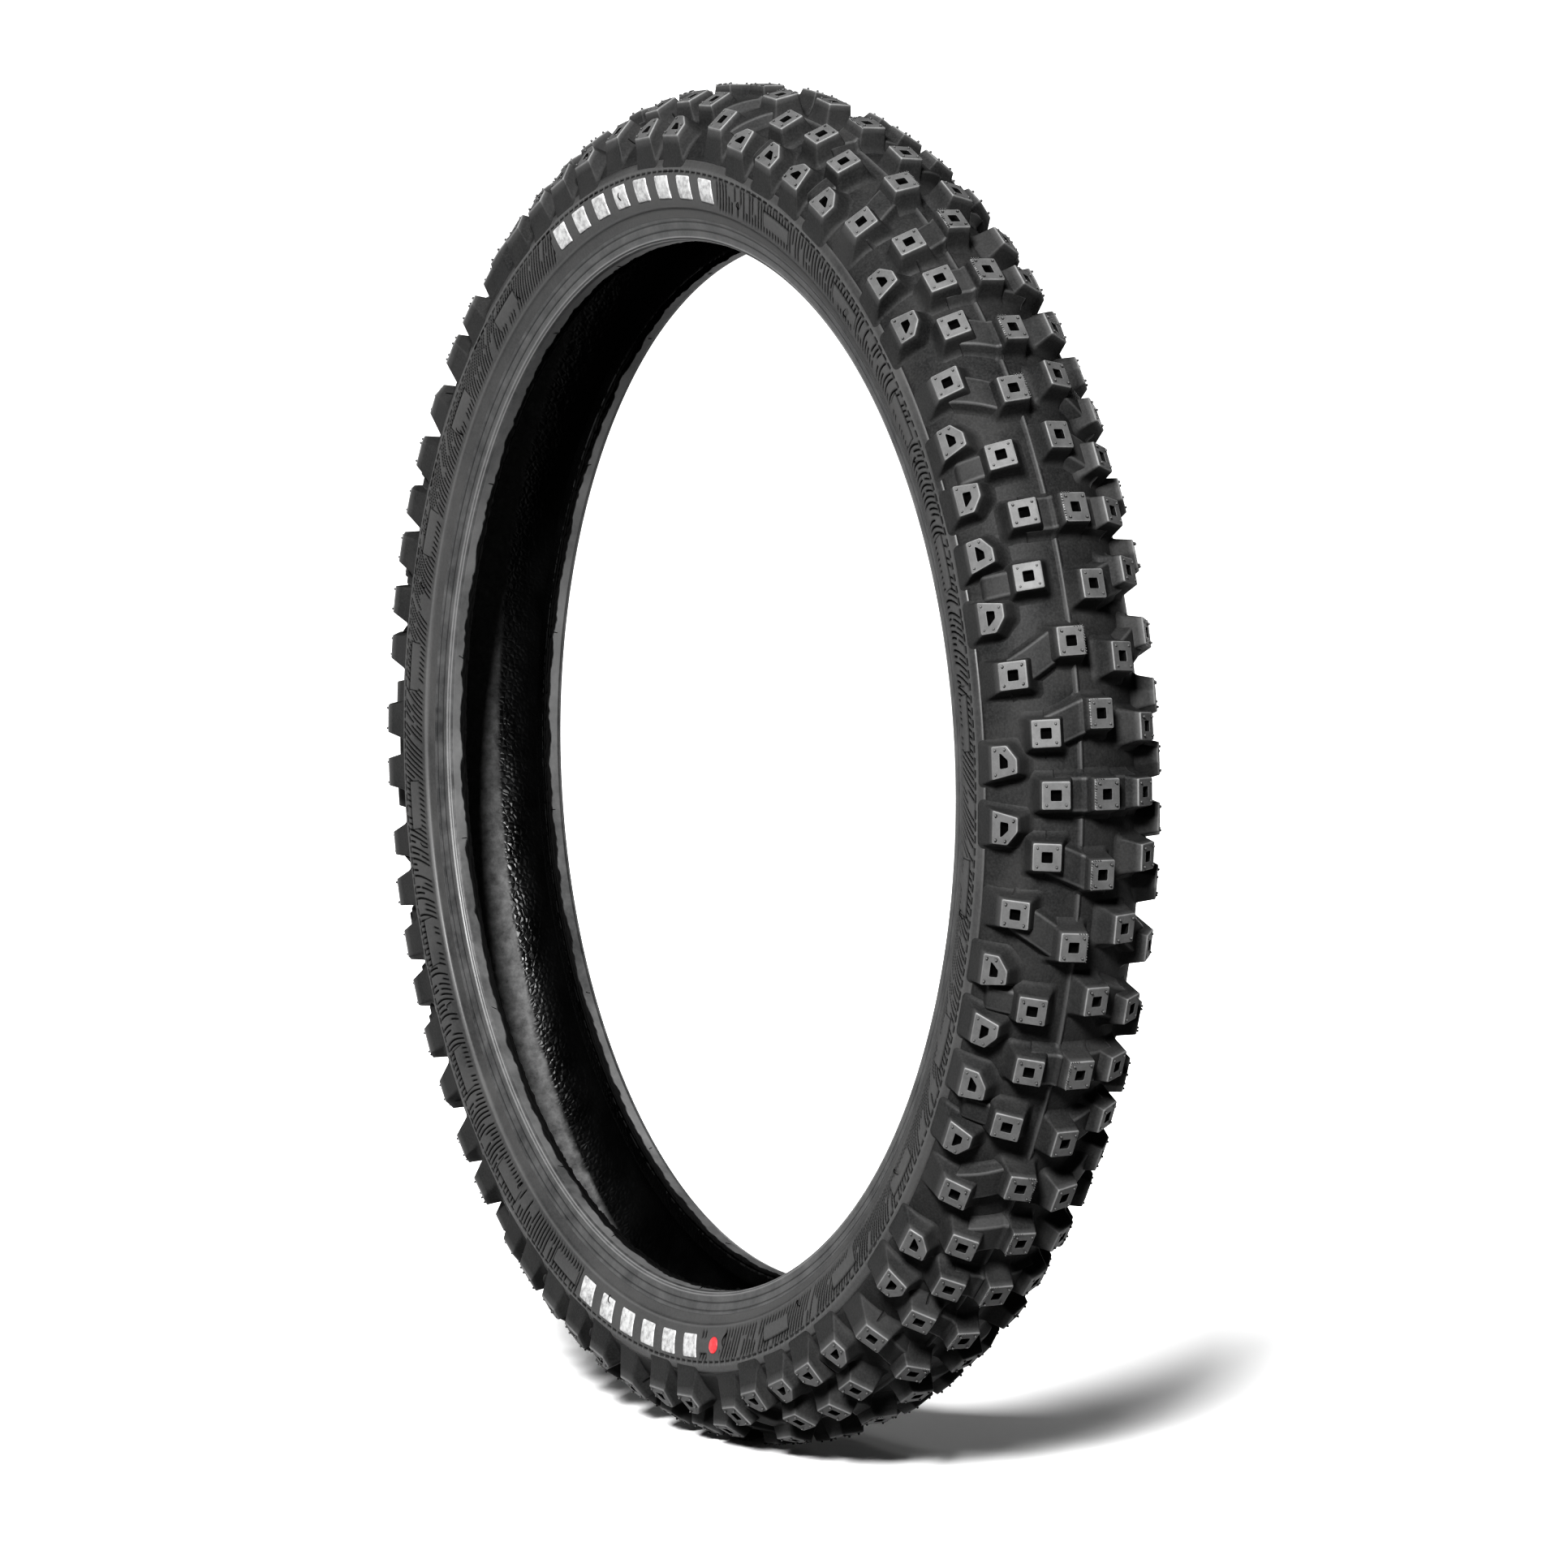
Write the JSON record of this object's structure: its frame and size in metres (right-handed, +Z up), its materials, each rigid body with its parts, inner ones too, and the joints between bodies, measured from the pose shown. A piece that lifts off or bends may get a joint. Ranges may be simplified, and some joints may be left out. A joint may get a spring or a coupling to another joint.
{
  "type": "motorcycle tire",
  "caption": "Unmounted off-road motorcycle front tire with square and five-sided tread knobs, ribbed sidewalls and wire beads.",
  "frame": {"origin": "centre of the wheel, on the axle line and midway between the beads", "axes": "+Y along the axle towards the left side, +Z up, +X the rolling direction"},
  "size_m": [0.6912, 0.0922, 0.6912],
  "materials": {
    "tread_rubber": "matte moulded rubber",
    "sidewall_rubber": "satin moulded rubber",
    "chafer_rubber": "satin moulded rubber",
    "liner_rubber": "glossy, marked by the curing bladder",
    "filler_rubber": "matte hard rubber",
    "ply_fabric": "rubber-coated cord",
    "wrap_fabric": "rubber-coated strip",
    "bead_steel": "bronze-coated drawn wire",
    "white_rubber": "matte white rubber",
    "dot_paint": "matte paint spot"
  },
  "bodies": {
    "root": {"inner_liner": "liner_rubber", "body_ply_inner": "ply_fabric", "body_ply_outer": "ply_fabric", "crown_breaker": "ply_fabric", "undertread": "tread_rubber", "tread_base": "tread_rubber", "sidewall_left": "sidewall_rubber", "sidewall_right": "sidewall_rubber", "chafer_left": "chafer_rubber", "chafer_right": "chafer_rubber", "bead_filler_left": "filler_rubber", "bead_filler_right": "filler_rubber", "bead_wrap_left": "wrap_fabric", "bead_wrap_right": "wrap_fabric", "bead_wires_left": "bead_steel", "bead_wires_right": "bead_steel", "centre_knobs": "tread_rubber", "inner_knobs_left": "tread_rubber", "inner_knobs_right": "tread_rubber", "intermediate_knobs_left": "tread_rubber", "intermediate_knobs_right": "tread_rubber", "shoulder_square_knobs_left": "tread_rubber", "shoulder_square_knobs_right": "tread_rubber", "shoulder_cut_knobs_left": "tread_rubber", "shoulder_cut_knobs_right": "tread_rubber", "tie_bars_left": "tread_rubber", "tie_bars_right": "tread_rubber", "shoulder_struts_left": "tread_rubber", "shoulder_struts_right": "tread_rubber", "sidewall_marks_left": "white_rubber", "sidewall_marks_right": "white_rubber", "balance_dot": "dot_paint"}
  },
  "joints": []
}
